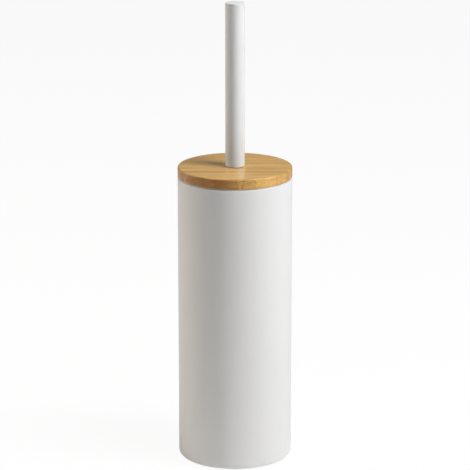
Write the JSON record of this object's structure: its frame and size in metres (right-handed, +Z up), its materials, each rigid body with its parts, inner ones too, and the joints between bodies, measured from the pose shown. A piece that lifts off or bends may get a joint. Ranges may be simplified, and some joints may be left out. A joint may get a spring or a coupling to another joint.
{
  "type": "toilet brush holder",
  "caption": "Slim round canister with a removable liner, and a toilet brush whose bamboo lid closes it under a straight white handle.",
  "frame": {"origin": "centre of the face that the canister stands on, on the floor", "axes": "+Z up along the canister's and the brush's common axis; +X to the right and +Y to the back, both free, because the object is round"},
  "size_m": [0.095, 0.095, 0.388],
  "materials": {
    "white_paint": "satin",
    "bamboo": "satin",
    "foot_pad": "matte",
    "liner_plastic": "satin",
    "silicone": "matte",
    "steel": "satin",
    "brass": "satin",
    "head_plastic": "satin",
    "bristle": "matte"
  },
  "bodies": {
    "holder": {"outer_shell": "white_paint", "base_disc": "white_paint", "anti_slip_pad": "foot_pad"},
    "liner": {"inner_liner": "liner_plastic"},
    "lid_seal": {"lid_seal_ring": "silicone"},
    "brush": {"lid_disc": "bamboo", "clamp_washer": "steel", "clamp_nut": "steel", "handle_gasket": "silicone", "handle_tube": "white_paint", "handle_end_plug": "liner_plastic", "handle_top_cap": "white_paint", "stem_rod": "steel"},
    "head_seal": {"head_seal_ring": "silicone"},
    "head": {"head_insert": "brass", "head_core": "head_plastic", "bristle_row_1": "bristle", "bristle_row_2": "bristle", "bristle_row_3": "bristle", "bristle_row_4": "bristle", "bristle_row_5": "bristle", "bristle_row_6": "bristle", "bristle_row_7": "bristle", "bristle_tip": "bristle"}
  },
  "joints": [
    {"name": "liner_lift", "type": "slide", "parent": "holder", "child": "liner", "axis": [0, 0, 1], "range_m": [0, 0.245]},
    {"name": "brush_lift", "type": "slide", "parent": "liner", "child": "lid_seal", "axis": [0, 0, 1], "range_m": [0, 0.235]},
    {"name": "brush_turn", "type": "hinge", "parent": "lid_seal", "child": "brush", "pos_m": [0, 0, 0.25], "axis": [0, 0, 1], "continuous": true},
    {"name": "head_back_off", "type": "slide", "parent": "brush", "child": "head_seal", "axis": [0, 0, -1], "range_m": [0, 0.01]},
    {"name": "head_unscrew", "type": "hinge", "parent": "head_seal", "child": "head", "pos_m": [0, 0, 0.12], "axis": [0, 0, -1], "range_deg": [0, 3636]}
  ],
  "couplings": [
    {"joint": "head_unscrew", "follows": "head_back_off", "rad_per_m": 6283.2}
  ]
}
